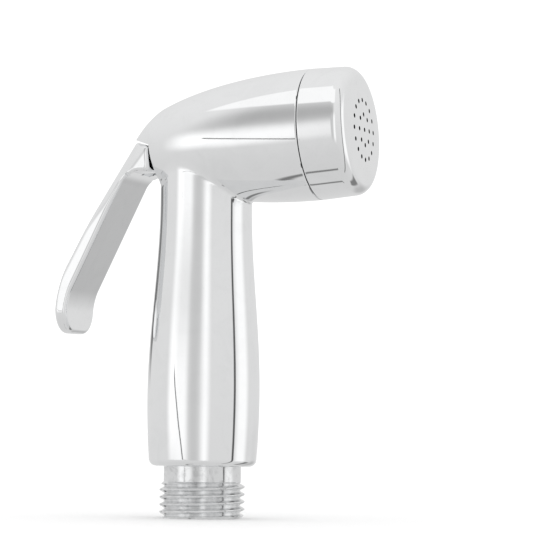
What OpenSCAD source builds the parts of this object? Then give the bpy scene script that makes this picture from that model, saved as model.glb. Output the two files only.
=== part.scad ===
// Handheld bidet shower: a spray head on a waisted handle, with a lever valve
// and a pipe-thread inlet at the foot. Millimetres. The handle stands along Z,
// the inlet end is at z = 0 and the spray leaves towards +X.

/* [Inlet] */
// Outside diameter of the inlet pipe thread
inlet_thread_d = 20.955; // [20.4:0.005:21.6]
// Length of the inlet pipe thread
inlet_thread_len = 9; // [7:0.5:12]
// Diameter of the plain neck above the thread
neck_d = 18.9; // [18:0.1:19.8]
// Length of neck that shows below the handle
neck_len = 3.8; // [2.5:0.1:6]
// Length of the inlet piece that screws into the handle
nipple_grip = 12; // [10:0.5:16]
// Diameter of the water passage in the inlet piece
nipple_bore_d = 12; // [10:0.5:13]
// Diameter of the strainer recess at the inlet end
strainer_d = 15; // [14:0.1:16]
// Thickness of the strainer plate
strainer_t = 1.6; // [1:0.1:2.5]
// Diameter of each hole in the strainer
strainer_hole_d = 1.1; // [0.7:0.1:1.3]

/* [Handle] */
// Diameter of the handle at its foot
foot_d = 26.1; // [25:0.1:28]
// Rounding of the edge at the foot
foot_round = 1.5; // [0.5:0.1:2.5]
// Diameter of the handle where it swells
bulge_d = 27.6; // [26:0.1:30]
// Height of the swelling
bulge_z = 30; // [26:1:36]
// Diameter of the handle at its waist
waist_d = 22.6; // [21.5:0.1:24]
// Height of the waist
waist_z = 78; // [70:1:80]
// Diameter of the waterway through the handle
waterway_d = 17; // [12:0.5:17]
// Diameter of the port from the waterway into the valve chamber
port_d = 9; // [6:0.5:10]

/* [Head] */
// Height of the head's axis above the inlet end
head_z = 91.9; // [90:0.5:98]
// Upward tilt of the head
head_tilt = 4; // [0:0.5:8]
// Diameter of the head at its widest station
head_d = 32.1; // [31:0.1:34]
// Distance from the handle's axis to the widest station
head_wide_s = 28; // [26:0.5:30]
// Length of the head's taper behind the widest station
head_taper = 48.5; // [46:0.5:52]
// Distance from the handle's axis to the cap seam
seam_s = 28.9; // [28:0.1:31]
// Distance from the handle's axis to the spray face
face_s = 41; // [40:0.1:43]
// Distance from the handle's axis back to the rear rim
rim_s = 12; // [11.6:0.1:12.4]
// Rake of the rear rim, whose foot is further forward
rim_rake = 4.8; // [4:0.1:6]
// Distance from the handle's axis back to the end of the roof
roof_s = 16.8; // [16.4:0.1:17.4]
// Height of the roof's end above the head's axis
roof_v = 2.3; // [2:0.1:2.8]
// Lean of the flat on the roof, measured from the head's cross plane
roof_lean = 40.5; // [36:0.5:44]

/* [Spray cap] */
// Wall thickness of the cap at its rim
cap_wall = 2.1; // [1.6:0.1:2.5]
// Thickness of the spray face
face_t = 1.8; // [1.2:0.1:2.4]
// Rounding of the edge between the cap's side and its face
cap_round = 2.6; // [1.5:0.1:3.2]
// Diameter lost on the cap's side between its rim and its rounded edge
cap_draft = 0.7; // [0:0.1:1.2]
// Height of the face's dome
face_dome = 0.6; // [0.2:0.1:1]
// Open width of the seam between cap and head
seam_gap = 0.15; // [0.05:0.05:0.4]
// Diameter of each spray hole
spray_hole_d = 1.1; // [0.6:0.1:1.4]
// Radius of the outer ring of spray holes
outer_ring_r = 7.3; // [6.5:0.1:9]
// Number of holes in the outer ring
outer_ring_n = 16; // [12:1:18]
// Radius of the inner ring of spray holes
inner_ring_r = 3.75; // [3:0.05:5]
// Number of holes in the inner ring
inner_ring_n = 8; // [6:1:10]
// Thickness of the flow disc behind the face
disc_t = 1.5; // [1:0.1:2]

/* [Valve] */
// Diameter of the valve chamber
chamber_d = 17; // [15:0.5:18]
// Distance from the handle's axis back to the chamber's rear wall
chamber_back_s = 4; // [3:0.5:5]
// Distance from the handle's axis to the seat piece's shoulder
seat_s = 16.2; // [15:0.1:18]
// Thickness of the seat piece
seat_t = 5; // [4:0.1:6]
// Diameter of the threaded bore for the seat piece
seat_bore_d = 23.2; // [21:0.1:23.8]
// Diameter of the orifice in the seat piece
orifice_d = 8; // [7:0.1:9]
// Width of the raised lip around the orifice
lip_w = 0.9; // [0.6:0.1:1.2]
// Height of the raised lip
lip_h = 0.6; // [0.4:0.1:1]
// Diameter of the valve washer
washer_d = 11.8; // [11:0.1:12.5]
// Thickness of the valve washer
washer_t = 2.6; // [2:0.1:3.2]
// Wall and floor thickness of the washer holder
holder_t = 0.7; // [0.5:0.1:0.9]
// Diameter of the valve stem
stem_d = 4; // [3.6:0.1:4.2]
// Diameter of the screw that holds the washer
screw_d = 2; // [1.6:0.1:2.2]
// Diameter of the screw's head
screw_head_d = 5.2; // [4:0.1:5.6]
// Height of the screw's head
screw_head_h = 1.5; // [1:0.1:2]
// Length of the gland bush
bush_len = 6; // [5.8:0.1:6.6]
// Diameter of the gland bush
bush_d = 11; // [10:0.1:12]
// Depth of the bush's pocket in the rear wall
bush_pocket = 5.2; // [4.8:0.1:5.6]
// Thickness of the washer that the spring presses on
spring_washer_t = 0.6; // [0.4:0.1:1]
// Mean diameter of the return spring
spring_d = 8.4; // [7.6:0.1:9]
// Diameter of the spring wire
wire_d = 0.9; // [0.6:0.05:1.1]
// Number of turns in the return spring
spring_turns = 7; // [5:1:9]
// Section of the O-rings on the seat, cap, inlet piece and bush
ring_section = 1.3; // [1.1:0.05:1.4]
// Section of the O-ring around the stem
stem_ring_section = 1.5; // [1.3:0.05:1.6]

/* [Lever] */
// Width of the lever
lever_w = 17.8; // [16.4:0.1:17.8]
// Lean of the lever's outer face from the upright
lever_lean = 28.3; // [26:0.1:30]
// Lean of the lever's inner face from the upright
lever_inner_lean = 26.3; // [25:0.1:28]
// Distance from the handle's axis to the outer face of the lever's tip
tip_out = 36.7; // [34:0.1:38]
// Thickness of the lever at its tip
tip_t = 3.2; // [2.8:0.1:3.6]
// Height of the lever's lowest point
tip_z = 45.2; // [40:0.5:50]
// Rounding of the tip's corners
tip_round = 6; // [3:0.5:8]
// Height of the arch under the lever's root
arch_z = 84.9; // [84.3:0.1:85.2]
// Distance from the handle's axis to where the arch meets the inner face
arch_out = 18; // [17.5:0.1:18.5]
// Distance from the handle's axis back to the hinge pin, along the head
pivot_s = 14.5; // [14:0.1:15]
// Depth of the hinge pin below the head's axis
pivot_v = 3.95; // [3.8:0.05:4.2]
// Diameter of the hinge pin
pivot_d = 1.8; // [1.5:0.1:2]
// Distance back to the stubs that pull the stem, along the head
stub_s = 13.18; // [13:0.02:13.4]
// Diameter of the stubs that pull the stem
stub_d = 1.6; // [1.4:0.05:1.7]
// Width of the slot between the lever's cheeks
slot_w = 5.8; // [5.4:0.1:6.4]
// Thickness of the lever's outer wall behind the slot
slot_wall = 1.4; // [1.2:0.1:1.6]
// Gap between the lever's root and the head
root_gap = 0.35; // [0.25:0.05:0.6]
// Length over which the sloped corners of the lever's root fade out
relief_len = 24; // [16:1:30]
// Depth of the sloped corners at the top of the root
relief_depth = 4.2; // [3:0.1:5]
// Width of the sloped corners at the top of the root
relief_w = 4.3; // [3:0.1:5]

/* [Hidden] */
// Running clearance of a sliding or turning fit, on the radius
run_fit = 0.05;
// Clearance of parts screwed or pressed together, on the radius
tight_fit = 0.02;
// Clearance where a moving piece passes a fixed one
pass_gap = 0.3;
// Amount by which a cutting shape overruns the face it cuts
over = 1;

// Metal between the top of the waterway and the valve chamber
chamber_sill = 4.4;
// How far the port into the chamber reaches behind the handle's axis
port_back = 1.5;
// Room above the inlet piece, and its O-ring groove's distance from its end
nipple_room = 1;
nipple_groove_in = 3;
// Depth at which the strainer sits in its recess
strainer_set = 0.4;
neck_top_z = inlet_thread_len + neck_len;
handle_bore_r = neck_d / 2 + run_fit;
nipple_top_z = neck_top_z + nipple_grip;
nipple_groove_z = nipple_top_z - nipple_groove_in;
waterway_top_z = head_z - chamber_d / 2 - chamber_sill;
waterway_start_z = nipple_top_z + nipple_room;

// Depth of the water space between the flow disc and the spray face
plenum_depth = 1.2;
// Width of the step in the cap that holds the flow disc
disc_step = 1.35;
// Distances of the O-ring grooves from the faces that they are cut behind
cap_groove_in = 1.3;
bush_groove_in = 1.4;
seat_groove_in = 0.9;
head_r = head_d / 2;
spigot_r = head_r - cap_wall - run_fit;
spigot_end_s = face_s - face_t - plenum_depth - disc_t - run_fit;
cap_rim_s = seam_s + seam_gap;
disc_s = spigot_end_s + run_fit;
cap_bore_r = spigot_r + run_fit;
plenum_r = cap_bore_r - disc_step;
face_edge_r = head_r - cap_draft / 2 - cap_round;
groove_depth = ring_section - 0.1;
groove_w = ring_section + 0.4;
// O-rings are drawn pressed into their grooves, just clear of the bore around them
pressed_section = ring_section - 0.08;
cap_groove_s = seam_s + cap_groove_in;

// Height of the roof's underside at the rear rim, and how far the rim reaches below it
rim_v = 0.4;
rim_drop = 9.6;
rim_foot_v = rim_v - rim_drop;
roof_slope = (roof_v - rim_v) / (roof_s - rim_s);

chamber_r = chamber_d / 2;
seat_r = seat_bore_d / 2;
orifice_r = orifice_d / 2;
lip_face_s = seat_s - lip_h;
washer_front_s = lip_face_s - tight_fit;
washer_back_s = washer_front_s - washer_t;
holder_back_s = washer_back_s - 2 * holder_t;
// Setback of the holder's rim behind the washer's face
holder_setback = 0.6;
stem_r = stem_d / 2;
// Radius of the stem's end, which the washer holder sits on
stem_end_r = 1.6;
// Reach of the washer's screw into the stem, and of the hole made for it
screw_reach = 4;
screw_hole_reach = 5;
// Depth and half width of the slot in the screw's head
screw_slot_depth = 0.7;
screw_slot_half = 0.4;
// Radius and depth of the holes for the spanner that turns the seat piece
spanner_hole_r = 1;
spanner_hole_depth = 2;
// Rings of holes in the flow disc, as number and radius, and each hole's radius
disc_rings = [[8, 4.2], [16, 8.6]];
disc_hole_r = 0.9;
bush_back_s = -chamber_back_s - bush_pocket;
bush_front_s = bush_back_s + bush_len;
bush_groove_s = bush_back_s + bush_groove_in;
spring_back_s = bush_front_s + spring_washer_t;
// Room that the spring's washer has inside the bush's outline
washer_inset = 0.2;
stem_ring_pocket_r = stem_r + stem_ring_section + 0.1;
stem_ring_pocket = stem_ring_section + 0.3;
seat_groove_s = seat_s + seat_groove_in;

// The stem's neck leaves the stubs a little play, and its button is behind them
neck_play_front = 0.08;
neck_play_back = 0.07;
stem_neck_front_s = -stub_s + stub_d / 2 + neck_play_front;
stem_neck_back_s = -stub_s - stub_d / 2 - neck_play_back;
stem_neck_r = 1.2;
button_t = 1;
// Gap between each stub and the stem's neck
stub_gap = 0.15;
// Length of the pocket for the stem's end, and the room above the stem in it
pocket_len = 4.3;
pocket_room = 0.2;
lug_half = slot_w / 2 - pass_gap;
lug_r = pivot_v - stem_r - pass_gap;
lug_foot_v = -pivot_v - lug_r - pass_gap;
// Metal at the blind end of the hinge pin's bore, the pin's gap there and its other end's recess
pin_blind = 1.5;
pin_end_gap = 0.2;
pin_recess = 1.4;
lever_half = lever_w / 2;
// Radii of the bends in the lever's outer face, its inner face and under its arch
outer_bend_r = 25;
inner_bend_r = 12;
arch_bend_r = 5;
// How far the top of the lever's back lies below the end of the roof
top_drop = 0.4;
// Height, from the head's axis, at which the back wall of the lever's slot turns upright
slot_turn_v = -0.6;

$fn = 64;

// Radius of the handle at height z: a swelling above the foot, then a fall to the waist
function handle_r(z) =
    z < bulge_z ? bulge_d / 2 - (bulge_d - foot_d) / 2 * pow((bulge_z - z) / (bulge_z - neck_top_z), 2)
    : (bulge_d + waist_d) / 4 + (bulge_d - waist_d) / 4 * cos(180 * (z - bulge_z) / (waist_z - bulge_z));

// Radius of the head at station s: an ellipse that tapers to the rear
function head_section(s) = head_r * sqrt(1 - pow((head_wide_s - s) / head_taper, 2));

// Point of the head's side view, s forward and v up, in the handle's X and Z
function from_head(s, v) = [s * cos(head_tilt) - v * sin(head_tilt),
                            head_z + s * sin(head_tilt) + v * cos(head_tilt)];

// Station of the rear rim at height v
function rim_at(v) = -rim_s + (rim_v - v) * tan(rim_rake);

function unit(a) = a / norm(a);

// Points of the arc of radius r that rounds corner p between its neighbours a and b
function corner_arc(p, a, b, r, steps = 8) =
    let (u = unit(a - p), w = unit(b - p), half = acos(u * w) / 2)
    let (centre = p + unit(u + w) * r / sin(half))
    let (from = p + u * r / tan(half) - centre, to = p + w * r / tan(half) - centre)
    let (start = atan2(from[1], from[0]), turn = atan2(to[1], to[0]) - start)
    let (sweep = turn > 180 ? turn - 360 : turn < -180 ? turn + 360 : turn)
    [for (i = [0:steps]) centre + r * [cos(start + sweep * i / steps), sin(start + sweep * i / steps)]];

// Outline whose corners, given as x, z and radius, are rounded by arcs
function rounded(corners) =
    let (n = len(corners))
    [for (i = [0:n - 1])
        let (p = corners[i], a = corners[(i + n - 1) % n], b = corners[(i + 1) % n])
        each p[2] == 0 ? [[p[0], p[1]]]
            : corner_arc([p[0], p[1]], [a[0], a[1]], [b[0], b[1]], p[2])];

// Places children in the head: x forward along its axis, z up across it
module in_head() {
    translate([0, 0, head_z]) rotate([0, -head_tilt, 0]) children();
}

// Turns an outline of radius and station about the head's axis
module turned(outline) {
    in_head() rotate([0, 90, 0]) rotate_extrude() polygon(outline);
}

// A round bar along the head's axis, offset across it
module head_bar(r, s0, s1, y = 0, v = 0) {
    in_head() translate([s0, y, v]) rotate([0, 90, 0]) cylinder(r = r, h = s1 - s0);
}

// A plate of a side outline, given in x and z, centred on the mirror plane
module side_plate(outline, half) {
    rotate([90, 0, 0]) translate([0, 0, -half]) linear_extrude(2 * half) polygon(outline);
}

// A round bar across the head, from y0 to y1
module cross_bar(r, s, v, y0, y1) {
    in_head() translate([s, y0, v]) rotate([-90, 0, 0]) cylinder(r = r, h = y1 - y0);
}

// An O-ring around the head's axis, given by its inner radius
module head_ring(inner_r, section, s) {
    in_head() translate([s, 0, 0]) rotate([0, 90, 0])
        rotate_extrude() translate([inner_r + section / 2, 0]) circle(d = section, $fn = 32);
}

// A tube around the head's axis
module head_tube(outer_r, inner_r, s0, s1) {
    turned([[inner_r, s0], [outer_r, s0], [outer_r, s1], [inner_r, s1]]);
}

module handle_solid() {
    steps = 24;
    start_z = neck_top_z + foot_round;
    foot_r = handle_r(neck_top_z);
    rotate_extrude() polygon(concat(
        [[0, neck_top_z]],
        [for (a = [0:22.5:90])
            [foot_r - foot_round + foot_round * sin(a), neck_top_z + foot_round * (1 - cos(a))]],
        [for (i = [1:steps]) let (z = start_z + (waist_z - start_z) * i / steps) [handle_r(z), z]],
        [[waist_d / 2, head_z], [0, head_z]]));
}

module head_solid() {
    steps = 20;
    tail_s = head_wide_s - head_taper;
    difference() {
        turned(concat(
            [for (i = [0:steps])
                let (s = tail_s + (seam_s - tail_s) * sin(90 * i / steps)) [head_section(s), s]],
            [[spigot_r, seam_s], [spigot_r, spigot_end_s], [0, spigot_end_s]]));
        in_head() side_plate(roof_cut(), head_r);
    }
}

// Side outline of what is cut off behind the roof's flat, its underside and the rim
function roof_cut() =
    let (rise = head_r)
    [[-roof_s + rise * tan(roof_lean), roof_v + rise], [-roof_s, roof_v], [-rim_s, rim_v],
     [rim_at(rim_foot_v), rim_foot_v], [-head_taper, rim_foot_v], [-head_taper, roof_v + rise]];

module body() {
    color("gainsboro") difference() {
        union() {
            handle_solid();
            head_solid();
            lug();
        }
        // The handle's back is trimmed level with the rear rim
        in_head() side_plate([[rim_at(lug_foot_v), lug_foot_v], [rim_at(rim_foot_v), rim_foot_v],
                              [-waist_d, rim_foot_v], [-waist_d, lug_foot_v]], head_r);
        translate([0, 0, neck_top_z - over])
            cylinder(r = handle_bore_r, h = waterway_start_z - neck_top_z + over);
        translate([0, 0, waterway_start_z - over])
            cylinder(d = waterway_d, h = waterway_top_z - waterway_start_z + over);
        translate([port_d / 2 - port_back, 0, waterway_top_z - over]) cylinder(d = port_d, h = chamber_r);
        head_bar(chamber_r, -chamber_back_s, seat_s + over);
        head_bar(seat_r, seat_s, spigot_end_s + over);
        head_bar(bush_d / 2 + run_fit, bush_back_s, 0);
        head_bar(stem_r + pass_gap, -rim_s - over, bush_back_s + over);
        stem_pocket();
        cross_bar(pivot_d / 2 + run_fit, -pivot_s, -pivot_v, -lever_half, lever_half);
        head_groove(spigot_r, cap_groove_s);
    }
}

// Lug behind the rear rim that carries the lever's hinge pin
module lug() {
    cross_bar(lug_r, -pivot_s, -pivot_v, -lug_half, lug_half);
    in_head() translate([-pivot_s, -lug_half, -pivot_v - lug_r])
        cube([pivot_s - rim_s + 2 * over, 2 * lug_half, 2 * lug_r]);
}

// Pocket under the roof, where the stem's end and the lever's stubs move
module stem_pocket() {
    half = slot_w / 2 + pass_gap;
    in_head() translate([-rim_s - pocket_len, -half, 0])
        cube([pocket_len + over, 2 * half, stem_r + pocket_room]);
}

// Groove for an O-ring, turned into a bar of radius outer_r
module head_groove(outer_r, s) {
    head_tube(outer_r + over, outer_r - groove_depth, s, s + groove_w);
}

module inlet_nipple() {
    bore_r = nipple_bore_d / 2;
    plug_r = neck_d / 2;
    color("silver") difference() {
        union() {
            cylinder(d = inlet_thread_d, h = inlet_thread_len);
            cylinder(r = plug_r, h = nipple_top_z);
        }
        translate([0, 0, -over]) cylinder(r = bore_r, h = nipple_top_z + 2 * over);
        translate([0, 0, -over]) cylinder(d = strainer_d, h = strainer_set + strainer_t + over);
        translate([0, 0, nipple_groove_z]) rotate_extrude()
            translate([plug_r - groove_depth, 0]) square([groove_depth + over, groove_w]);
    }
}

module nipple_o_ring() {
    color("dimgray") translate([0, 0, nipple_groove_z + groove_w / 2]) rotate_extrude()
        translate([neck_d / 2 - groove_depth + pressed_section / 2, 0]) circle(d = pressed_section, $fn = 32);
}

module inlet_strainer() {
    pitch = 2;
    rows = 3;
    mesh_r = pitch * (rows + 0.1);
    color("ivory") translate([0, 0, strainer_set]) difference() {
        cylinder(r = strainer_d / 2 - tight_fit, h = strainer_t);
        for (i = [-rows:rows]) for (j = [-rows:rows])
            let (place = pitch * [i + j / 2, j * sin(60)])
                if (norm(place) < mesh_r) translate([place[0], place[1], -over])
                    cylinder(d = strainer_hole_d, h = strainer_t + 2 * over, $fn = 24);
    }
}

module gland_bush() {
    outer_r = bush_d / 2;
    color("goldenrod") difference() {
        head_tube(outer_r, stem_r + run_fit, bush_back_s, bush_front_s);
        head_bar(stem_ring_pocket_r, bush_front_s - stem_ring_pocket, bush_front_s + over);
        head_groove(outer_r, bush_groove_s);
    }
}

module gland_o_ring() {
    color("dimgray") head_ring(bush_d / 2 - groove_depth, pressed_section, bush_groove_s + groove_w / 2);
}

module stem_o_ring() {
    color("dimgray") head_ring(stem_r + run_fit, stem_ring_section, bush_front_s - stem_ring_pocket / 2);
}

module spring_washer() {
    color("silver") head_tube(bush_d / 2 - washer_inset, stem_r + 2 * run_fit, bush_front_s, spring_back_s);
}

// Station of the spring wire's centre after some turns, with one closed turn at each end
function spring_rise(turn) =
    let (from = spring_back_s + wire_d / 2 + run_fit, to = holder_back_s - wire_d / 2 - run_fit)
    let (pitch = (to - from - 2 * wire_d) / (spring_turns - 2))
    turn < 1 ? from + wire_d * turn
    : turn < spring_turns - 1 ? from + wire_d + pitch * (turn - 1)
    : to - wire_d * (spring_turns - turn);

module return_spring() {
    sides = 8;
    per_turn = 20;
    rings = per_turn * spring_turns;
    points = [for (i = [0:rings]) for (k = [0:sides - 1])
        let (a = 360 * i / per_turn, b = 360 * k / sides, r = (spring_d + wire_d * cos(b)) / 2)
        [spring_rise(i / per_turn) + wire_d / 2 * sin(b), r * cos(a), r * sin(a)]];
    faces = concat(
        [[for (k = [0:sides - 1]) k]],
        [for (i = [0:rings - 1]) for (k = [0:sides - 1]) let (n = (k + 1) % sides)
            each [[i * sides + k, (i + 1) * sides + k, (i + 1) * sides + n],
                  [i * sides + k, (i + 1) * sides + n, i * sides + n]]],
        [[for (k = [sides - 1:-1:0]) rings * sides + k]]);
    color("lightsteelblue") in_head() polyhedron(points, faces);
}

module valve_stem() {
    color("goldenrod") difference() {
        union() {
            head_bar(stem_r, stem_neck_front_s, holder_back_s);
            head_bar(stem_neck_r, stem_neck_back_s - button_t / 2, stem_neck_front_s + over);
            head_bar(stem_r, stem_neck_back_s - button_t, stem_neck_back_s);
            head_bar(stem_end_r, holder_back_s - over, washer_back_s);
        }
        head_bar(screw_d / 2 + tight_fit, holder_back_s - screw_hole_reach, washer_back_s + over);
    }
}

module washer_holder() {
    rim_r = washer_d / 2 + tight_fit + holder_t;
    color("goldenrod") difference() {
        head_bar(rim_r, holder_back_s, washer_front_s - holder_setback);
        head_bar(washer_d / 2 + tight_fit, washer_back_s, washer_front_s);
        head_bar(stem_end_r + tight_fit, holder_back_s - over, washer_back_s + over);
    }
}

module valve_washer() {
    color("dimgray") head_tube(washer_d / 2, screw_d / 2 + tight_fit, washer_back_s, washer_front_s);
}

module washer_screw() {
    head_top_s = washer_front_s + screw_head_h;
    color("silver") difference() {
        union() {
            head_bar(screw_head_d / 2, washer_front_s, head_top_s);
            head_bar(screw_d / 2, holder_back_s - screw_reach, washer_front_s + over / 2);
        }
        in_head() translate([head_top_s - screw_slot_depth, -screw_slot_half, -screw_head_d])
            cube([over, 2 * screw_slot_half, 2 * screw_head_d]);
    }
}

module valve_seat() {
    plug_r = seat_r - run_fit;
    front_s = seat_s + seat_t;
    spanner_s = front_s - spanner_hole_depth;
    color("goldenrod") difference() {
        union() {
            head_bar(plug_r, seat_s, front_s);
            head_bar(orifice_r + lip_w, lip_face_s, seat_s + over);
        }
        head_bar(orifice_r, lip_face_s - over, front_s + over);
        head_groove(plug_r, seat_groove_s);
        for (side = [-1, 1])
            head_bar(spanner_hole_r, spanner_s, front_s + over, side * (orifice_r + plug_r) / 2);
    }
}

module seat_o_ring() {
    inner_r = seat_r - run_fit - groove_depth;
    color("dimgray") head_ring(inner_r, pressed_section, seat_groove_s + groove_w / 2);
}

module flow_disc() {
    color("ivory") difference() {
        head_bar(cap_bore_r - run_fit, disc_s, disc_s + disc_t);
        for (ring = disc_rings) for (i = [0:ring[0] - 1]) let (a = 360 * i / ring[0])
            head_bar(disc_hole_r, disc_s - over, disc_s + disc_t + over, ring[1] * cos(a), ring[1] * sin(a));
    }
}

module spray_cap() {
    edge_s = face_s - face_dome - cap_round;
    floor_s = face_s - face_t;
    step_s = disc_s + disc_t;
    color("gainsboro") difference() {
        turned(concat(
            [[cap_bore_r, cap_rim_s], [head_r, cap_rim_s]],
            [for (a = [0:15:90]) [face_edge_r + cap_round * cos(a), edge_s + cap_round * sin(a)]],
            [for (i = [1:5]) let (x = face_edge_r * (1 - i / 5))
                [x, face_s - face_dome * pow(x / face_edge_r, 2)]],
            [[0, floor_s], [plenum_r, floor_s], [plenum_r, step_s], [cap_bore_r, step_s]]));
        spray_hole(0, 0);
        for (i = [0:inner_ring_n - 1]) spray_hole(inner_ring_r, 360 * i / inner_ring_n);
        for (i = [0:outer_ring_n - 1]) spray_hole(outer_ring_r, 360 * i / outer_ring_n);
    }
}

module spray_hole(ring_r, angle) {
    head_bar(spray_hole_d / 2, face_s - face_t - over, face_s + over,
             ring_r * cos(angle), ring_r * sin(angle), $fn = 24);
}

module cap_o_ring() {
    color("dimgray") head_ring(spigot_r - groove_depth, pressed_section, cap_groove_s + groove_w / 2);
}

// Side outline of the lever: root behind the head, then a bar that leans out and turns down
function lever_outline() =
    let (top_front_v = rim_v + root_gap * roof_slope - root_gap / cos(atan(roof_slope)))
    let (top_front = from_head(-rim_s - root_gap, top_front_v))
    let (outer_top = from_head(-roof_s, roof_v))
    let (top_back = outer_top - top_drop * [tan(lever_lean), 1])
    let (outer_bend_z = outer_top[1] - (tip_out + outer_top[0]) / tan(lever_lean))
    let (tip_in = tip_out - tip_t, inner_bend_z = arch_z - (tip_in - arch_out) / tan(lever_inner_lean))
    rounded([[top_front[0], top_front[1], 0], [top_back[0], top_back[1], 0],
             [-tip_out, outer_bend_z, outer_bend_r], [-tip_out, tip_z, 0], [-tip_in, tip_z, 0],
             [-tip_in, inner_bend_z, inner_bend_r], [-arch_out, arch_z, arch_bend_r],
             [top_front[0], arch_z, 0]]);

module lever() {
    color("gainsboro") difference() {
        union() {
            difference() {
                intersection() {
                    side_plate(lever_outline(), lever_half);
                    tip_outline();
                }
                in_head() side_plate(slot_outline(), slot_w / 2);
            }
            cross_bar(stub_d / 2, -stub_s, 0, -slot_w / 2 - over, -stem_neck_r - stub_gap);
            cross_bar(stub_d / 2, -stub_s, 0, stem_neck_r + stub_gap, slot_w / 2 + over);
        }
        cross_bar(pivot_d / 2 + tight_fit, -pivot_s, -pivot_v, pin_blind - lever_half, lever_half + over);
        for (side = [-1, 1]) root_relief(side);
    }
}

// Slot between the lever's cheeks, for the lug and the end of the stem
function slot_outline() =
    let (lean = lever_lean + head_tilt, back = slot_wall / cos(lean))
    let (top_s = -roof_s + back + over * tan(lean))
    let (deep_s = -roof_s + back - (roof_v - slot_turn_v) * tan(lean))
    [[0, roof_v + over], [top_s, roof_v + over], [deep_s, slot_turn_v], [deep_s, -head_r], [0, -head_r]];

// Front view of the lever: straight sides and a rounded tip
module tip_outline() {
    wide = lever_half + over;
    corner_z = tip_z + tip_round + over;
    rotate([90, 0, 90]) translate([0, 0, -head_taper]) linear_extrude(head_taper)
        polygon(rounded([[-wide, head_z + head_r, 0], [-wide, corner_z, 0],
                         [-lever_half, corner_z, 0], [-lever_half, tip_z, tip_round],
                         [lever_half, tip_z, tip_round], [lever_half, corner_z, 0],
                         [wide, corner_z, 0], [wide, head_z + head_r, 0]]));
}

// Plane that carries the head's round side onto the root's flat back, fading out down the lever
module root_relief(side) {
    along = [-sin(lever_lean), 0, -cos(lever_lean)];
    inward = [cos(lever_lean), 0, -sin(lever_lean)];
    across = [0, side, 0];
    top = from_head(-roof_s, roof_v);
    corner = [top[0], side * lever_half, top[1]];
    deep = corner + relief_depth * inward;
    back = corner - relief_w * across;
    normal = unit(cross(back - deep, corner + relief_len * along - deep));
    out = normal * across > 0 ? normal : -normal;
    translate(corner + relief_len * along) rotate([0, acos(out[2]), atan2(out[1], out[0])])
        translate([-head_taper, -head_taper, 0]) cube([2 * head_taper, 2 * head_taper, head_r]);
}

module pivot_pin() {
    start_y = pin_blind + pin_end_gap - lever_half;
    color("silver") cross_bar(pivot_d / 2, -pivot_s, -pivot_v, start_y, lever_half - pin_recess);
}

body();
inlet_nipple();
nipple_o_ring();
inlet_strainer();
gland_bush();
gland_o_ring();
stem_o_ring();
spring_washer();
return_spring();
valve_stem();
washer_holder();
valve_washer();
washer_screw();
valve_seat();
seat_o_ring();
flow_disc();
spray_cap();
cap_o_ring();
lever();
pivot_pin();
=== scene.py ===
import math

import bmesh
import bpy
import numpy as np
from mathutils import Matrix, Vector


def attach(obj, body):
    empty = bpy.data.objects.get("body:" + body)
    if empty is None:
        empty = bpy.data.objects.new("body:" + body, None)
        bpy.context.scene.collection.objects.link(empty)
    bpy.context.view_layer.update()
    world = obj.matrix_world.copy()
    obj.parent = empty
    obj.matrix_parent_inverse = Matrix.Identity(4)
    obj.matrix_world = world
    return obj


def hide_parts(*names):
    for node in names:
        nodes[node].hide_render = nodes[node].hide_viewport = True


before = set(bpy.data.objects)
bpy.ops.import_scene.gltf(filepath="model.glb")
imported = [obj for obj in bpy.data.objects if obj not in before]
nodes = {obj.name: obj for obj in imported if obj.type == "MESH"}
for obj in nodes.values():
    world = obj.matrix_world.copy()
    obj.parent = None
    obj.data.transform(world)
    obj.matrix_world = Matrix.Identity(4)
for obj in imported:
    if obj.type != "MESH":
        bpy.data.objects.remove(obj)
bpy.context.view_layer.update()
metre = 1000  # everything is modelled in millimetres and made metres at the end
print("frame loaded:", len(nodes), "solids")

# what the shell, the cap and the lever all line up with
head = {
    "axisZ": 91.9,
    "tilt": 4,
    "seamS": 28.9,
    "rimS": 12,
    "rimV": 0.4,
    "rimRake": 4.8,
    "rimFootV": -9.2,
    "roofS": 16.8,
    "roofV": 2.3,
    "roofLean": 40.5,
    "wideS": 28,
    "taper": 48.5,
    "radius": 16.05,
    "spigotR": 13.9,
    "spigotS": 36.45,
}
headFrame = Matrix.Translation((0, 0, head["axisZ"])) @ Matrix.Rotation(math.radians(-head["tilt"]), 4, "Y")
toHead = np.array(headFrame.inverted())


def headPoint(s, y, v):
    return headFrame @ Vector((s, y, v))


def inHead(p):
    return p @ toHead[:3, :3].T + toHead[:3, 3]


# Forms given as distance fields

def roundJoin(a, b, radius):
    # both forms together, with a fillet where they meet
    return np.maximum(radius, np.minimum(a, b)) - np.hypot(np.maximum(radius - a, 0), np.maximum(radius - b, 0))


def roundCut(a, b, radius):
    # what is inside both forms, with a rounded edge
    return np.minimum(np.maximum(a, b), -radius) + np.hypot(np.maximum(a + radius, 0), np.maximum(b + radius, 0))


def fieldSlope(field, p, step=0.01):
    return np.stack([(field(p + step * axis) - field(p - step * axis)) / (2 * step) for axis in np.eye(3)], 1)


def settle(field, p, rounds=8):
    # moves points onto the surface where the field is zero
    for _ in range(rounds):
        g = fieldSlope(field, p)
        p = p - (field(p) / np.maximum((g * g).sum(1), 0.05))[:, None] * g
    return p


# Mesh helpers

def turned(bm, outline, axisFrame, steps=128):
    # outline is radius and station; the axis is the frame's x
    ring = [bm.verts.new(axisFrame @ Vector((station, 0, radius))) for radius, station in outline]
    edges = [bm.edges.new((ring[i], ring[i - 1])) for i in range(len(ring))]
    bmesh.ops.spin(bm, geom=ring + edges, cent=axisFrame.translation, axis=axisFrame.to_3x3() @ Vector((1, 0, 0)),
                   angle=2 * math.pi, steps=steps, use_merge=True)
    bmesh.ops.remove_doubles(bm, verts=bm.verts, dist=1e-4)
    bmesh.ops.recalc_face_normals(bm, faces=bm.faces)


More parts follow.
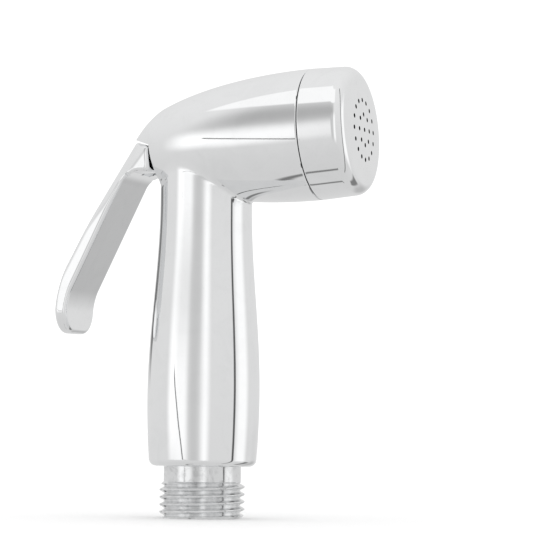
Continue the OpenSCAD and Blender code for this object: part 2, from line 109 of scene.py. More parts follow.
def addBar(bm, radius, start, end, steps=64):
    start, end = Vector(start), Vector(end)
    turn = (end - start).to_track_quat("Z", "Y").to_matrix().to_4x4()
    place = Matrix.Translation((start + end) / 2) @ turn
    bmesh.ops.create_cone(bm, cap_ends=True, segments=steps, radius1=radius, radius2=radius,
                          depth=(end - start).length, matrix=place)


def addPlate(bm, outline, half):
    # a plate of a side outline in x and z, centred on the mirror plane
    face = bm.faces.new([bm.verts.new((x, -half, z)) for x, z in outline])
    made = bmesh.ops.extrude_face_region(bm, geom=[face])
    bmesh.ops.translate(bm, verts=[v for v in made["geom"] if isinstance(v, bmesh.types.BMVert)], vec=(0, 2 * half, 0))
    bmesh.ops.recalc_face_normals(bm, faces=bm.faces)


def cornerArc(corner, before, after, radius, steps):
    # points of the arc that rounds a corner of an outline
    corner, before, after = Vector(corner), Vector(before), Vector(after)
    u, w = (before - corner).normalized(), (after - corner).normalized()
    half = u.angle(w) / 2
    middle = corner + (u + w).normalized() * radius / math.sin(half)
    start = corner + u * radius / math.tan(half) - middle
    turn = start.angle_signed(corner + w * radius / math.tan(half) - middle)
    return [middle + Matrix.Rotation(-turn * i / steps, 2) @ start for i in range(steps + 1)]


def rounded(corners, steps=14):
    # corners are x, z and radius
    points = []
    for i, (x, z, radius) in enumerate(corners):
        if radius:
            points += cornerArc((x, z), corners[i - 1][:2], corners[(i + 1) % len(corners)][:2], radius, steps)
        else:
            points.append(Vector((x, z)))
    return points


def toObject(bm, name):
    mesh = bpy.data.meshes.new(name)
    bm.to_mesh(mesh)
    bm.free()
    obj = bpy.data.objects.new(name, mesh)
    bpy.context.scene.collection.objects.link(obj)
    return obj


def bake(obj):
    # applies the object's modifiers
    bpy.context.view_layer.update()
    mesh = bpy.data.meshes.new_from_object(obj.evaluated_get(bpy.context.evaluated_depsgraph_get()))
    obj.modifiers.clear()
    old, obj.data = obj.data, mesh
    bpy.data.meshes.remove(old)
    mesh.name = obj.name


def combine(obj, tool, operation, crossing=False):
    # joins, cuts or keeps by another closed mesh, which is then thrown away
    step = obj.modifiers.new("combine", "BOOLEAN")
    step.operation = operation
    step.solver = "EXACT"
    step.use_self = crossing
    step.object = tool
    bake(obj)
    mesh = tool.data
    bpy.data.objects.remove(tool)
    bpy.data.meshes.remove(mesh)


def fused(name, makers):
    # one closed mesh from several overlapping ones
    whole = None
    for make in makers:
        bm = bmesh.new()
        make(bm)
        part = toObject(bm, name)
        if whole is None:
            whole = part
        else:
            combine(whole, part, "UNION")
    return whole


def smoothToField(obj, field, voxel):
    # even faces over a rough form, whose points then settle onto the true one
    step = obj.modifiers.new("voxels", "REMESH")
    step.mode = "VOXEL"
    step.voxel_size = voxel
    bake(obj)
    mesh = obj.data
    co = np.zeros(len(mesh.vertices) * 3)
    mesh.vertices.foreach_get("co", co)
    co = settle(field, co.reshape(-1, 3))
    mesh.vertices.foreach_set("co", co.astype(np.float32).ravel())
    mesh.update()


def exactNormals(obj, field, close=0.004):
    # the polished faces get the true normals of their form; the others stay flat
    mesh = obj.data
    co = np.zeros(len(mesh.vertices) * 3)
    mesh.vertices.foreach_get("co", co)
    co = co.reshape(-1, 3)
    loopVert = np.zeros(len(mesh.loops), int)
    mesh.loops.foreach_get("vertex_index", loopVert)
    faceNormal = np.zeros(len(mesh.polygons) * 3)
    mesh.polygons.foreach_get("normal", faceNormal)
    faceNormal = faceNormal.reshape(-1, 3)
    count = np.zeros(len(mesh.polygons), int)
    mesh.polygons.foreach_get("loop_total", count)
    loopFace = np.repeat(np.arange(len(count)), count)
    off = np.abs(field(co))[loopVert]
    slope = fieldSlope(field, co)
    slope /= np.linalg.norm(slope, axis=1, keepdims=True) + 1e-12
    worst = np.zeros(len(count))
    np.maximum.at(worst, loopFace, off)
    flat = faceNormal[loopFace]
    curved = slope[loopVert]
    agree = (curved * flat).sum(1)
    least = np.ones(len(count))
    np.minimum.at(least, loopFace, agree)
    polished = ((worst < close) & (least > 0.8))[loopFace]
    normals = np.where(polished[:, None], curved, flat)
    mesh.polygons.foreach_set("use_smooth", np.ones(len(count), bool))
    mesh.normals_split_custom_set(normals.astype(float).tolist())


def finishPiece(obj, material, body, slotName, *stands, smoothAngle=None):
    mesh = obj.data
    mesh.transform(Matrix.Scale(1 / metre, 4))
    if smoothAngle:
        mesh.shade_smooth()
        mesh.set_sharp_from_angle(angle=math.radians(smoothAngle))
    mesh.materials.clear()
    mesh.materials.append(material)
    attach(obj, body)
    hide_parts(*stands)
    print("made", obj.name, "with", len(mesh.polygons), "faces")


# Materials

def link(tree, start, output, end, entry):
    tree.links.new(start.outputs[output], end.inputs[entry])


def addNode(tree, kind, **values):
    node = tree.nodes.new(kind)
    for key, value in values.items():
        setattr(node, key, value)
    return node


def mathNode(tree, operation, first, second=None):
    node = addNode(tree, "ShaderNodeMath", operation=operation)
    for i, value in enumerate((first, second)):
        if isinstance(value, bpy.types.NodeSocket):
            tree.links.new(value, node.inputs[i])
        elif value is not None:
            node.inputs[i].default_value = value
    return node.outputs[0]


def makeSurfaceGroup():
    # long soft waves of a hand-polished casting, with faint smears in the shine
    group = bpy.data.node_groups.new("handPolish", "ShaderNodeTree")
    for name, value in (("Wave Size", 70.0), ("Wave Depth", 0.3), ("Smear Size", 160.0), ("Shine", 0.04), ("Smear", 0.03)):
        socket = group.interface.new_socket(name=name, in_out="INPUT", socket_type="NodeSocketFloat")
        socket.default_value = value
    group.interface.new_socket(name="Roughness", in_out="OUTPUT", socket_type="NodeSocketFloat")
    group.interface.new_socket(name="Patch", in_out="OUTPUT", socket_type="NodeSocketFloat")
    group.interface.new_socket(name="Normal", in_out="OUTPUT", socket_type="NodeSocketVector")
    entry = addNode(group, "NodeGroupInput")
    leave = addNode(group, "NodeGroupOutput")
    place = addNode(group, "ShaderNodeTexCoord")
    waves = addNode(group, "ShaderNodeTexNoise")
    waves.inputs["Detail"].default_value = 0.5
    link(group, place, "Object", waves, "Vector")
    link(group, entry, "Wave Size", waves, "Scale")
    bump = addNode(group, "ShaderNodeBump")
    bump.inputs["Distance"].default_value = 0.001
    link(group, entry, "Wave Depth", bump, "Strength")
    link(group, waves, "Fac", bump, "Height")
    smears = addNode(group, "ShaderNodeTexNoise")
    smears.inputs["Detail"].default_value = 4
    smears.inputs["Distortion"].default_value = 1.2
    link(group, place, "Object", smears, "Vector")
    link(group, entry, "Smear Size", smears, "Scale")
    patch = addNode(group, "ShaderNodeMapRange")
    patch.inputs["From Min"].default_value = 0.45
    patch.inputs["From Max"].default_value = 0.75
    link(group, smears, "Fac", patch, "Value")
    rough = mathNode(group, "MULTIPLY", patch.outputs[0], entry.outputs["Smear"])
    rough = mathNode(group, "ADD", rough, entry.outputs["Shine"])
    group.links.new(rough, leave.inputs["Roughness"])
    link(group, patch, "Result", leave, "Patch")
    link(group, bump, "Normal", leave, "Normal")
    return group


def makeMetal(name, look, group):
    # look: the two colours that the smears mix, and the group's own values
    material = bpy.data.materials.new(name)
    material.use_nodes = True
    tree = material.node_tree
    shader = tree.nodes["Principled BSDF"]
    finish = addNode(tree, "ShaderNodeGroup", node_tree=group)
    for key in ("Wave Size", "Wave Depth", "Smear Size", "Shine", "Smear"):
        finish.inputs[key].default_value = look[key]
    tint = addNode(tree, "ShaderNodeMix", data_type="RGBA")
    tint.inputs["A"].default_value = (*look["clean"], 1)
    tint.inputs["B"].default_value = (*look["dull"], 1)
    tree.links.new(finish.outputs["Patch"], tint.inputs["Factor"])
    tree.links.new(tint.outputs["Result"], shader.inputs["Base Color"])
    tree.links.new(finish.outputs["Roughness"], shader.inputs["Roughness"])
    tree.links.new(finish.outputs["Normal"], shader.inputs["Normal"])
    shader.inputs["Metallic"].default_value = look["metallic"]
    return material


surfaceGroup = makeSurfaceGroup()
looks = {
    "chrome": {"clean": (0.93, 0.935, 0.94), "dull": (0.90, 0.905, 0.91), "metallic": 1, "Wave Size": 75,
               "Wave Depth": 0.05, "Smear Size": 140, "Shine": 0.035, "Smear": 0.03},
    "threadChrome": {"clean": (0.83, 0.835, 0.84), "dull": (0.66, 0.665, 0.67), "metallic": 1, "Wave Size": 300,
                     "Wave Depth": 0.05, "Smear Size": 420, "Shine": 0.09, "Smear": 0.1},
    "brass": {"clean": (0.80, 0.60, 0.28), "dull": (0.62, 0.45, 0.20), "metallic": 1, "Wave Size": 900,
              "Wave Depth": 0.06, "Smear Size": 300, "Shine": 0.22, "Smear": 0.15},
    "steel": {"clean": (0.62, 0.62, 0.63), "dull": (0.48, 0.48, 0.50), "metallic": 1, "Wave Size": 1200,
              "Wave Depth": 0.05, "Smear Size": 400, "Shine": 0.25, "Smear": 0.15},
    "rubber": {"clean": (0.018, 0.018, 0.019), "dull": (0.045, 0.045, 0.045), "metallic": 0, "Wave Size": 1500,
               "Wave Depth": 0.15, "Smear Size": 500, "Shine": 0.55, "Smear": 0.2},
    "plastic": {"clean": (0.80, 0.80, 0.76), "dull": (0.70, 0.70, 0.66), "metallic": 0, "Wave Size": 900,
                "Wave Depth": 0.08, "Smear Size": 350, "Shine": 0.38, "Smear": 0.15},
    "darkPlastic": {"clean": (0.03, 0.03, 0.032), "dull": (0.05, 0.05, 0.052), "metallic": 0, "Wave Size": 900,
                    "Wave Depth": 0.08, "Smear Size": 350, "Shine": 0.45, "Smear": 0.15},
}
finishes = {name: makeMetal(name, look, surfaceGroup) for name, look in looks.items()}
print("materials made:", len(finishes))


# Handle and head, one casting

handle = {"footZ": 12.8, "footR": 13.05, "footRound": 1.5, "bulgeR": 13.8, "bulgeZ": 30, "waistR": 11.3, "waistZ": 78}
shell = {"voxel": 0.42, "joinFillet": 0.8, "roofRound": 0.8, "lip": 0.35, "lugHalf": 2.6, "lugR": 1.65}
pivot = {"s": -14.5, "v": -3.95, "bore": 0.95}


def handleRadius(z):
    rise = (handle["bulgeZ"] - z) / (handle["bulgeZ"] - handle["footZ"])
    low = handle["bulgeR"] - (handle["bulgeR"] - handle["footR"]) * rise ** 2
    turn = np.clip((z - handle["bulgeZ"]) / (handle["waistZ"] - handle["bulgeZ"]), 0, 1) * np.pi
    high = (handle["bulgeR"] + handle["waistR"]) / 2 + (handle["bulgeR"] - handle["waistR"]) / 2 * np.cos(turn)
    return np.where(z < handle["bulgeZ"], low, high)


def shellField(p):
    side = np.hypot(p[:, 0], p[:, 1]) - handleRadius(p[:, 2])
    grip = roundCut(side, handle["footZ"] - p[:, 2], handle["footRound"])
    grip = np.maximum(grip, p[:, 2] - head["axisZ"])  # the handle ends inside the head
    s, y, v = inHead(p).T
    along, across = (s - head["wideS"]) / head["taper"], np.hypot(y, v) / head["radius"]
    reach = np.hypot(along, across)
    pull = np.hypot(along / head["taper"], across / head["radius"])
    barrel = reach * (reach - 1) / np.maximum(pull, 1e-6)
    lean = math.radians(head["roofLean"])
    roof = (v - head["roofV"]) * math.sin(lean) - (s + head["roofS"]) * math.cos(lean)
    return roundCut(roundJoin(grip, barrel, shell["joinFillet"]), roof, shell["roofRound"])


def rimAt(v):
    return -head["rimS"] + (head["rimV"] - v) * math.tan(math.radians(head["rimRake"]))


def roughShell():
    # two turned forms, which the voxels make one
    bm = bmesh.new()
    upright = Matrix.Rotation(math.radians(-90), 4, "Y")
    heights = np.linspace(handle["footZ"], handle["waistZ"], 30)
    outline = [(0, handle["footZ"])] + [(float(handleRadius(z)), z) for z in heights]
    turned(bm, outline + [(handle["waistR"], head["axisZ"]), (0, head["axisZ"])], upright)
    ends = np.linspace(-90, 10, 40)
    outline = [(head["radius"] * math.cos(math.radians(a)), head["wideS"] + head["taper"] * math.sin(math.radians(a)))
               for a in ends]
    barrel = bmesh.new()
    turned(barrel, outline + [(0, outline[-1][1])], headFrame)
    lean = math.radians(head["roofLean"])
    bmesh.ops.bisect_plane(barrel, geom=barrel.verts[:] + barrel.edges[:] + barrel.faces[:], dist=1e-5,
                           plane_co=headPoint(-head["roofS"], 0, head["roofV"]), clear_outer=True,
                           plane_no=headFrame.to_3x3() @ Vector((-math.cos(lean), 0, math.sin(lean))))
    bmesh.ops.holes_fill(barrel, edges=[e for e in barrel.edges if e.is_boundary])
    part = bpy.data.meshes.new("barrel")
    barrel.to_mesh(part)
    barrel.free()
    bm.from_mesh(part)
    bpy.data.meshes.remove(part)
    return toObject(bm, "handset_shell")


def addSpigot(bm):
    # rounded lip at the cap seam, then the step that the cap goes over
    forward = headFrame.to_3x3() @ Vector((1, 0, 0))
    lip = shell["lip"]
    bmesh.ops.bisect_plane(bm, geom=bm.verts[:] + bm.edges[:] + bm.faces[:], dist=1e-5,
                           plane_co=headPoint(head["seamS"] - lip, 0, 0), plane_no=forward, clear_outer=True)
    rim = [e for e in bm.edges if e.is_boundary]
    for turn in (30, 60, 90):
        made = bmesh.ops.extrude_edge_only(bm, edges=rim)["geom"]
        rim = [e for e in made if isinstance(e, bmesh.types.BMEdge)]
        for v in [v for v in made if isinstance(v, bmesh.types.BMVert)]:
            s, y, up = headFrame.inverted() @ v.co
            r = math.hypot(y, up)
            step = lip * (math.cos(math.radians(turn - 30)) - math.cos(math.radians(turn)))
            s = head["seamS"] - lip + lip * math.sin(math.radians(turn))
            v.co = headPoint(s, y * (r - step) / r, up * (r - step) / r)
    face = bmesh.ops.contextual_create(bm, geom=rim)["faces"]
    bmesh.ops.inset_region(bm, faces=face, thickness=head["radius"] - lip - head["spigotR"], use_even_offset=True)
    made = bmesh.ops.extrude_face_region(bm, geom=face)["geom"]
    bmesh.ops.delete(bm, geom=face, context="FACES")
    bmesh.ops.translate(bm, verts=[v for v in made if isinstance(v, bmesh.types.BMVert)],
                        vec=forward * (head["spigotS"] - head["seamS"]))
    bmesh.ops.recalc_face_normals(bm, faces=bm.faces)


def rearCut(bm):
    # behind the rim and under the roof
    slope = (head["roofV"] - head["rimV"]) / (head["roofS"] - head["rimS"])
    outline = [(-head["rimS"], head["rimV"]), (rimAt(head["rimFootV"]), head["rimFootV"]), (-40, head["rimFootV"]),
               (-40, head["rimV"] + slope * (40 - head["rimS"]))]
    points = [headPoint(s, 0, v) for s, v in outline]
    addPlate(bm, [(p.x, p.z) for p in points], 20)


def waterways():
    # bores for the inlet piece, the water and the valve
    upright = [(9.5, 11.8, 25.8), (8.5, 24.8, 79), ]
    along = [(8.5, -4, 17.2), (11.6, 16.2, 37.5), (5.55, -9.2, 0), (2.3, -13, -8.2)]
    makers = [lambda bm, r=r, a=a, b=b: addBar(bm, r, (0, 0, a), (0, 0, b)) for r, a, b in upright]
    makers.append(lambda bm: addBar(bm, 4.5, (3, 0, 78), (3, 0, 86.5)))
    makers += [lambda bm, r=r, a=a, b=b: addBar(bm, r, headPoint(a, 0, 0), headPoint(b, 0, 0)) for r, a, b in along]
    return fused("waterways", makers)


def lugForm():
    # the lug behind the rim, with its eye
    s, v, half, r = pivot["s"], pivot["v"], shell["lugHalf"], shell["lugR"]

    def tongue(bm):
        corners = [headPoint(s, 0, v - r), headPoint(-10, 0, v - r), headPoint(-10, 0, v + r), headPoint(s, 0, v + r)]
        addPlate(bm, [(p.x, p.z) for p in corners], half)

    lug = fused("lug", [lambda bm: addBar(bm, r, headPoint(s, -half, v), headPoint(s, half, v)), tongue])
    eye = bmesh.new()
    addBar(eye, pivot["bore"], headPoint(s, -half - 1, v), headPoint(s, half + 1, v))
    combine(lug, toObject(eye, "eye"), "DIFFERENCE")
    return lug


def makeShell():
    obj = roughShell()
    smoothToField(obj, shellField, shell["voxel"])
    bm = bmesh.new()
    bm.from_mesh(obj.data)
    addSpigot(bm)
    bm.to_mesh(obj.data)
    bm.free()
    cutter = bmesh.new()
    rearCut(cutter)
    combine(obj, toObject(cutter, "rearCut"), "DIFFERENCE")
    combine(obj, waterways(), "DIFFERENCE")
    combine(obj, lugForm(), "UNION")
    exactNormals(obj, shellField)
    finishPiece(obj, finishes["chrome"], "handset", "chrome", "body")


makeShell()


# Spray cap

cap = {"rimS": 29.05, "draft": 0.35, "edgeS": 37.8, "round": 2.6, "faceS": 40.98, "dome": 0.6, "domeR": 13.1,
       "bore": 13.95, "floorS": 39.2, "plenumR": 12.6, "stepS": 38, "lip": 0.35}
spray = {"hole": 0.55,"rings": ((1, 0, 0), (8, 3.75, 0), (16, 7.3, 0))}


def capField(p):
    s, y, v = inHead(p).T
    r = np.hypot(y, v)
    side = r - (head["radius"] - cap["draft"] * (s - cap["rimS"]) / (cap["edgeS"] - cap["rimS"]))
    face = s - (cap["faceS"] - cap["dome"] * (r / cap["domeR"]) ** 2)
    rim = cap["rimS"] - s
    return roundCut(roundCut(side, face, cap["round"]), rim, cap["lip"])


def makeCap():
    bm = bmesh.new()
    lip = [(head["radius"] - cap["lip"] + cap["lip"] * math.sin(math.radians(a)),
            cap["rimS"] + cap["lip"] - cap["lip"] * math.cos(math.radians(a))) for a in (0, 22, 45, 68, 90)]
    side = [(head["radius"] - 0.1, s) for s in np.linspace(30, cap["edgeS"] - 0.3, 12)]
    corner = [(cap["domeR"] + cap["round"] * math.cos(math.radians(a)), cap["edgeS"] + cap["round"] * math.sin(math.radians(a)))
              for a in range(0, 91, 6)]
    face = [(r, cap["faceS"]) for r in np.linspace(cap["domeR"] - 0.5, 0, 22)]
    outer = settle(capField, np.array([headPoint(s, 0, r) for r, s in lip + side + corner + face]))
    outer = [(max(0, float(v)), float(s)) for s, _, v in inHead(outer)]
    inner = [(0, cap["floorS"]), (cap["plenumR"], cap["floorS"]), (cap["plenumR"], cap["stepS"]),
             (cap["bore"], cap["stepS"]), (cap["bore"], cap["rimS"])]
    turned(bm, outer + inner, headFrame, steps=180)
    obj = toObject(bm, "spray_cap_shell")
    holes = bmesh.new()
    for count, ring, start in spray["rings"]:
        for i in range(count):
            a = math.radians(start + 360 * i / count)
            y, v = ring * math.cos(a), ring * math.sin(a)
            addBar(holes, spray["hole"], headPoint(cap["floorS"] - 1, y, v), headPoint(cap["faceS"] + 1, y, v), steps=24)
    combine(obj, toObject(holes, "holes"), "DIFFERENCE")
    exactNormals(obj, capField, close=0.02)
    finishPiece(obj, finishes["chrome"], "handset", "chrome", "spray_cap")


makeCap()


# Inlet piece with its pipe thread

inlet = {"crest": 10.4775, "root": 9.32, "pitch": 1.814, "length": 9, "chamfer": 0.15, "neckR": 9.45, "topZ": 24.8,
         "bore": 6, "recess": 7.5, "recessZ": 2, "grooveZ": 21.8, "grooveW": 1.7, "grooveD": 1.2,
         "rows": 130, "steps": 132}


def threadRadius(z, angle):
    # rounded crests and roots, chamfered at the end face and run out at the neck
    wave = math.sin(2 * math.pi * z / inlet["pitch"] - angle)
    radius = (inlet["crest"] + inlet["root"]) / 2 + (inlet["crest"] - inlet["root"]) / 2 * wave
    return min(radius, inlet["root"] + inlet["chamfer"] + z, inlet["neckR"] + inlet["length"] - z)


def makeInlet():
    grooveTop, grooveR = inlet["grooveZ"] + inlet["grooveW"], inlet["neckR"] - inlet["grooveD"]
    thread = [(inlet["crest"], z) for z in np.linspace(0, inlet["length"], inlet["rows"])]
    plug = [(inlet["neckR"], inlet["length"] + 0.1), (inlet["neckR"], inlet["grooveZ"]), (grooveR, inlet["grooveZ"]),
            (grooveR, grooveTop), (inlet["neckR"], grooveTop), (inlet["neckR"], inlet["topZ"])]
    waterway = [(inlet["bore"], inlet["topZ"]), (inlet["bore"], inlet["recessZ"]),
                (inlet["recess"], inlet["recessZ"]), (inlet["recess"], 0)]
    bm = bmesh.new()
    turned(bm, thread + plug + waterway, Matrix.Rotation(math.radians(-90), 4, "Y"), steps=inlet["steps"])
    for v in bm.verts:
        if math.hypot(v.co.x, v.co.y) > inlet["crest"] - 0.01:
            radius = threadRadius(v.co.z, math.atan2(v.co.y, v.co.x))
            v.co.xy = v.co.xy.normalized() * radius
    bmesh.ops.recalc_face_normals(bm, faces=bm.faces)
    obj = toObject(bm, "threaded_inlet")
    finishPiece(obj, finishes["threadChrome"], "handset", "chrome", "inlet_nipple", smoothAngle=40)


makeInlet()


# Lever

lever = {"half": 8.9, "lean": 28.3, "innerLean": 26.3, "tipOut": 36.7, "tipT": 3.2, "tipZ": 45.2, "tipRound": 6,
         "archZ": 84.9, "archOut": 18, "rootGap": 0.35, "footForward": 0.55, "topDrop": 0.4, "voxel": 0.28,
         "outerSoft": 3, "innerSoft": 1.25, "archSoft": 2.8, "topRound": 0.5, "edge": 1.1,
         "reliefLen": 24, "reliefDepth": 4.2, "reliefW": 4.3, "reliefRound": 0.9,
         "flareR": 9.15, "flare": 1.1, "flareDrop": 7, "flareRound": 0.5,
         "slotHalf": 2.9, "slotWall": 1.4, "slotFloorV": -0.6, "stubS": -13.18, "stubR": 0.8, "stubGap": 1.35,
         "boreR": 0.92, "boreStart": 1.5}


def leverCorners():
    # side view, from the top of the root down the back, up the inner face and along the arch
    slope = (head["roofV"] - head["rimV"]) / (head["roofS"] - head["rimS"])
    gap = lever["rootGap"]
    front = headPoint(-head["rimS"] - gap, 0, head["rimV"] + gap * slope - gap / math.cos(math.atan(slope)))
    top = headPoint(-head["roofS"], 0, head["roofV"])
    lean, innerLean = math.tan(math.radians(lever["lean"])), math.tan(math.radians(lever["innerLean"]))
    tipIn = lever["tipOut"] - lever["tipT"]
    return [(front.x, front.z),
            (top.x - lever["topDrop"] * lean, top.z - lever["topDrop"]),
            (-lever["tipOut"], top.z - (lever["tipOut"] + top.x) / lean),
            (-lever["tipOut"], lever["tipZ"]),
            (-tipIn, lever["tipZ"]),
            (-tipIn, lever["archZ"] - (tipIn - lever["archOut"]) / innerLean),
            (-lever["archOut"], lever["archZ"]),
            (front.x + lever["footForward"], lever["archZ"])]


def rootSlope():
    # plane on which the head's round side runs out into the lever's flat back, on the far side
    lean = math.radians(lever["lean"])
    along, inward = Vector((-math.sin(lean), 0, -math.cos(lean))), Vector((math.cos(lean), 0, -math.sin(lean)))
    corner = headPoint(-head["roofS"], 0, head["roofV"]) + Vector((0, lever["half"], 0))
    deep = corner + lever["reliefDepth"] * inward
    back = corner - Vector((0, lever["reliefW"], 0))
    out = (back - deep).cross(corner + lever["reliefLen"] * along - deep).normalized()
    return deep, out if out.y > 0 else -out


def leverField(p):
    x, y, z = p.T
    corners = leverCorners()
    sides = []
    for i, end in enumerate(corners):
        start = Vector(corners[i - 1])
        way = (Vector(end) - start).normalized()
        sides.append((x - start.x) * way.y - (z - start.y) * way.x)
    front, top, back, backTip, _, innerTip, inner, arch = sides
    outside = roundCut(back, backTip, lever["outerSoft"])
    inside = roundJoin(roundJoin(innerTip, inner, lever["innerSoft"]), arch, lever["archSoft"])
    bar = roundCut(roundCut(np.maximum(outside, inside), front, lever["topRound"]), top, lever["topRound"])
    face = roundCut(np.abs(y) - lever["half"], lever["tipZ"] - z, lever["tipRound"])
    deep, out = rootSlope()
    slope = (x - deep.x) * out.x + (np.abs(y) - deep.y) * out.y + (z - deep.z) * out.z
    bar = roundCut(roundCut(bar, face, lever["edge"]), slope, lever["reliefRound"])
    # the cheeks meet the head's round rim and flare out behind it
    s, y, v = inHead(p).T
    flare = np.hypot(y, np.clip(v, -lever["flareDrop"], 0)) - lever["flareR"] + lever["flare"] * (s + head["rimS"])
    return roundCut(bar, flare / math.hypot(1, lever["flare"]), lever["flareRound"])


def roughLever():
    bm = bmesh.new()
    addPlate(bm, leverCorners(), lever["half"])
    deep, out = rootSlope()
    for side in (-1, 1):
        bmesh.ops.bisect_plane(bm, geom=bm.verts[:] + bm.edges[:] + bm.faces[:], dist=1e-5,
                               plane_co=(deep.x, side * deep.y, deep.z), plane_no=(out.x, side * out.y, out.z),
                               clear_outer=True)
        bmesh.ops.holes_fill(bm, edges=[e for e in bm.edges if e.is_boundary])
    bmesh.ops.recalc_face_normals(bm, faces=bm.faces)
    return toObject(bm, "squeeze_lever")


def leverSlot(bm):
    # space between the cheeks for the lug and the end of the stem
    lean = math.radians(lever["lean"] + head["tilt"])
    back = lever["slotWall"] / math.cos(lean)
    deep = -head["roofS"] + back - (head["roofV"] - lever["slotFloorV"]) * math.tan(lean)
    top, foot = head["roofV"] + 1, -head["radius"]
    corners = [(0, top), (-head["roofS"] + back + math.tan(lean), top), (deep, lever["slotFloorV"]), (deep, foot), (0, foot)]
    addPlate(bm, [(p.x, p.z) for p in (headPoint(s, 0, v) for s, v in corners)], lever["slotHalf"])


def makeLever():
    obj = roughLever()
    smoothToField(obj, leverField, lever["voxel"])
    slot, stubs, bore = bmesh.new(), bmesh.new(), bmesh.new()
    leverSlot(slot)
    for side in (-1, 1):
        addBar(stubs, lever["stubR"], headPoint(lever["stubS"], side * lever["stubGap"], 0),
               headPoint(lever["stubS"], side * (lever["slotHalf"] + 1), 0), steps=32)
    addBar(bore, lever["boreR"], headPoint(pivot["s"], lever["boreStart"] - lever["half"], pivot["v"]),
           headPoint(pivot["s"], lever["half"] + 1, pivot["v"]), steps=40)
    combine(obj, toObject(slot, "slot"), "DIFFERENCE")
    combine(obj, toObject(stubs, "stubs"), "UNION")
    combine(obj, toObject(bore, "bore"), "DIFFERENCE")
    exactNormals(obj, leverField)
    finishPiece(obj, finishes["chrome"], "lever", "chrome", "lever")


makeLever()


# The solids that stay as they are

nodeFinish = {
    "rubber": ("nipple_o_ring", "gland_o_ring", "stem_o_ring", "valve_washer", "seat_o_ring", "cap_o_ring"),
    "brass": ("gland_bush", "valve_stem", "washer_holder", "valve_seat"),
    "steel": ("spring_washer", "return_spring", "washer_screw", "pivot_pin"),
    "plastic": ("inlet_strainer",),
    "darkPlastic": ("flow_disc",),
}
for finish, names in nodeFinish.items():
    for name in names:
        nodes[name].data.materials.clear()
        nodes[name].data.materials.append(finishes[finish])
print("inner pieces finished")


# Floor, light and camera

view = {"azimuth": 21.4, "elevation": -2.7, "distance": 680, "centreZ": 55, "focalPixels": 2758,
        "centreAt": (205, 294.4), "roll": 0.83, "frame": 560}
backAngle = math.radians(view["azimuth"])
rightWay = Vector((math.cos(backAngle), math.sin(backAngle), 0))
backFlat = Vector((math.sin(backAngle), -math.cos(backAngle), 0))


def makeCamera():
    rise = math.radians(view["elevation"])
    back = backFlat * math.cos(rise) + Vector((0, 0, math.sin(rise)))
    up = back.cross(rightWay)
    turn = Matrix((rightWay, up, back)).transposed().to_4x4()
    half = view["frame"] / 2
    aside = math.atan((view["centreAt"][0] - half) / view["focalPixels"])
    above = math.atan((half - view["centreAt"][1]) / view["focalPixels"])
    turn = turn @ Matrix.Rotation(math.radians(view["roll"]), 4, "Z")
    turn = turn @ Matrix.Rotation(aside, 4, "Y") @ Matrix.Rotation(-above, 4, "X")
    data = bpy.data.cameras.new("camera")
    data.sensor_width = 36
    data.lens = view["focalPixels"] / view["frame"] * data.sensor_width
    data.clip_start, data.clip_end = 0.01, 50
    camera = bpy.data.objects.new("camera", data)
    place = (Vector((0, 0, view["centreZ"])) + back * view["distance"]) / metre
    camera.matrix_world = Matrix.Translation(place) @ turn
    bpy.context.scene.collection.objects.link(camera)
    bpy.context.scene.camera = camera


def makeFloor():
    bm = bmesh.new()
    bmesh.ops.create_circle(bm, cap_ends=True, segments=96, radius=6)
    floor = toObject(bm, "floor")
    material = bpy.data.materials.new("paleFloor")
    material.use_nodes = True
    shader = material.node_tree.nodes["Principled BSDF"]
    shader.inputs["Base Color"].default_value = (0.93, 0.93, 0.93, 1)
    shader.inputs["Roughness"].default_value = 0.9
    shader.inputs["Specular IOR Level"].default_value = 0.1
    floor.data.materials.append(material)
    floor.visible_glossy = False


# soft panels round the object, as seen in the chrome: azimuth from the camera to the right, elevation,
# half width, half height, softness, all in degrees, then how bright, and how far a panel leans
panels = (
    (-64, 3, 12, 12, 8, 1.15, 0),       # white streak down the handle
    (-47, 2, 12, 14, 7, 1.06, 0),       # white band along the head
    (-36, 30, 32, 15, 14, 0.46, 0),     # grey lens above it
    (-40, 60, 50, 14, 1.5, 1.02, 0),    # light band with the lens's sharp upper edge
    (-20, 3, 9, 22, 7, 0.6, 0),         # grey beside the handle's white streak
    (3, 4, 7, 22, 7, 1.06, 0),          # pale streak in its middle
    (88, 5, 14, 22, 8, 1.05, 0),        # light right band
    (143, -24, 14, 16, 10, 0.5, 0),     # seen by the lever's inner face
    (116, -35, 9, 16, 4, 0.22, 0),      # seen by the handle in the lever's inner face
    (-50, -5, 14, 0.7, 0.5, 0.12, -0.65),   # thin line along the head
    (-115, -72, 70, 1.4, 1, 0.2, 0),    # thin line under the cap
    (67, 0, 2.4, 60, 1.2, 0.1, 0),      # thin line down the handle's right
    (-150, 9, 8, 6.5, 2, 0.12, 0),      # dark edge of the handle behind the lever
)
panelValues = ("Centre Azimuth", "Centre Elevation", "Half Width", "Half Height", "Softness")


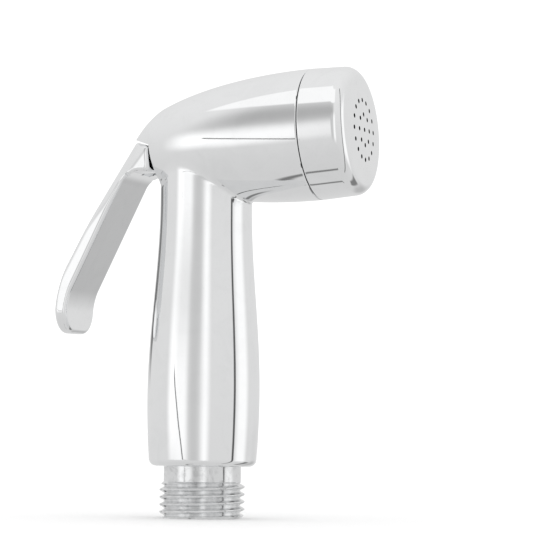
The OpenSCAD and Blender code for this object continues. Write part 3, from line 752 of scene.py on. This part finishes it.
def makePanelGroup():
    group = bpy.data.node_groups.new("softPanel", "ShaderNodeTree")
    for name in ("Azimuth", "Elevation", *panelValues, "Lean"):
        group.interface.new_socket(name=name, in_out="INPUT", socket_type="NodeSocketFloat")
    group.interface.new_socket(name="Mask", in_out="OUTPUT", socket_type="NodeSocketFloat")
    entry, leave = addNode(group, "NodeGroupInput"), addNode(group, "NodeGroupOutput")

    def inside(away, half):
        gap = mathNode(group, "SUBTRACT", entry.outputs[half], mathNode(group, "ABSOLUTE", away))
        ramp = addNode(group, "ShaderNodeMapRange", interpolation_type="SMOOTHSTEP")
        group.links.new(gap, ramp.inputs["Value"])
        group.links.new(mathNode(group, "MULTIPLY", entry.outputs["Softness"], -1), ramp.inputs["From Min"])
        group.links.new(entry.outputs["Softness"], ramp.inputs["From Max"])
        return ramp.outputs[0]

    turn = addNode(group, "ShaderNodeMath", operation="WRAP")
    aside = mathNode(group, "SUBTRACT", entry.outputs["Azimuth"], entry.outputs["Centre Azimuth"])
    group.links.new(aside, turn.inputs[0])
    turn.inputs[1].default_value, turn.inputs[2].default_value = -180, 180
    aside = turn.outputs[0]
    above = mathNode(group, "SUBTRACT", entry.outputs["Elevation"], entry.outputs["Centre Elevation"])
    above = mathNode(group, "SUBTRACT", above, mathNode(group, "MULTIPLY", aside, entry.outputs["Lean"]))
    mask = mathNode(group, "MULTIPLY", inside(aside, "Half Width"), inside(above, "Half Height"))
    group.links.new(mask, leave.inputs["Mask"])
    return group


def makeStudio():
    world = bpy.data.worlds.new("studio")
    bpy.context.scene.world = world
    world.use_nodes = True
    tree = world.node_tree
    background = tree.nodes["Background"]
    way = addNode(tree, "ShaderNodeTexCoord").outputs["Generated"]

    def along(direction):
        dot = addNode(tree, "ShaderNodeVectorMath", operation="DOT_PRODUCT")
        tree.links.new(way, dot.inputs[0])
        dot.inputs[1].default_value = direction
        return dot.outputs["Value"]

    azimuth = mathNode(tree, "DEGREES", mathNode(tree, "ARCTAN2", along(rightWay), along(backFlat)))
    elevation = mathNode(tree, "DEGREES", mathNode(tree, "ARCSINE", along((0, 0, 1))))
    base = addNode(tree, "ShaderNodeMapRange", interpolation_type="SMOOTHSTEP")
    tree.links.new(elevation, base.inputs["Value"])
    for name, value in (("From Min", -70), ("From Max", 80), ("To Min", 0.66), ("To Max", 0.84)):
        base.inputs[name].default_value = value
    light = base.outputs[0]
    group = makePanelGroup()
    for *places, bright, lean in panels:
        mask = addNode(tree, "ShaderNodeGroup", node_tree=group)
        tree.links.new(azimuth, mask.inputs["Azimuth"])
        tree.links.new(elevation, mask.inputs["Elevation"])
        for name, value in zip(panelValues, places):
            mask.inputs[name].default_value = value
        mask.inputs["Lean"].default_value = lean
        mix = addNode(tree, "ShaderNodeMix", data_type="FLOAT")
        tree.links.new(mask.outputs["Mask"], mix.inputs["Factor"])
        tree.links.new(light, mix.inputs["A"])
        mix.inputs["B"].default_value = bright
        light = mix.outputs["Result"]
    # the chrome sees the panels; the floor and the backdrop see plain white
    path = addNode(tree, "ShaderNodeLightPath")
    plain = addNode(tree, "ShaderNodeMix", data_type="FLOAT")
    tree.links.new(path.outputs["Is Glossy Ray"], plain.inputs["Factor"])
    plain.inputs["A"].default_value = 1.15
    tree.links.new(light, plain.inputs["B"])
    tree.links.new(plain.outputs["Result"], background.inputs["Strength"])
    background.inputs["Color"].default_value = (1, 1, 1, 1)


makeCamera()
makeFloor()
makeStudio()
bpy.context.scene.view_settings.view_transform = "Standard"
print("studio set")
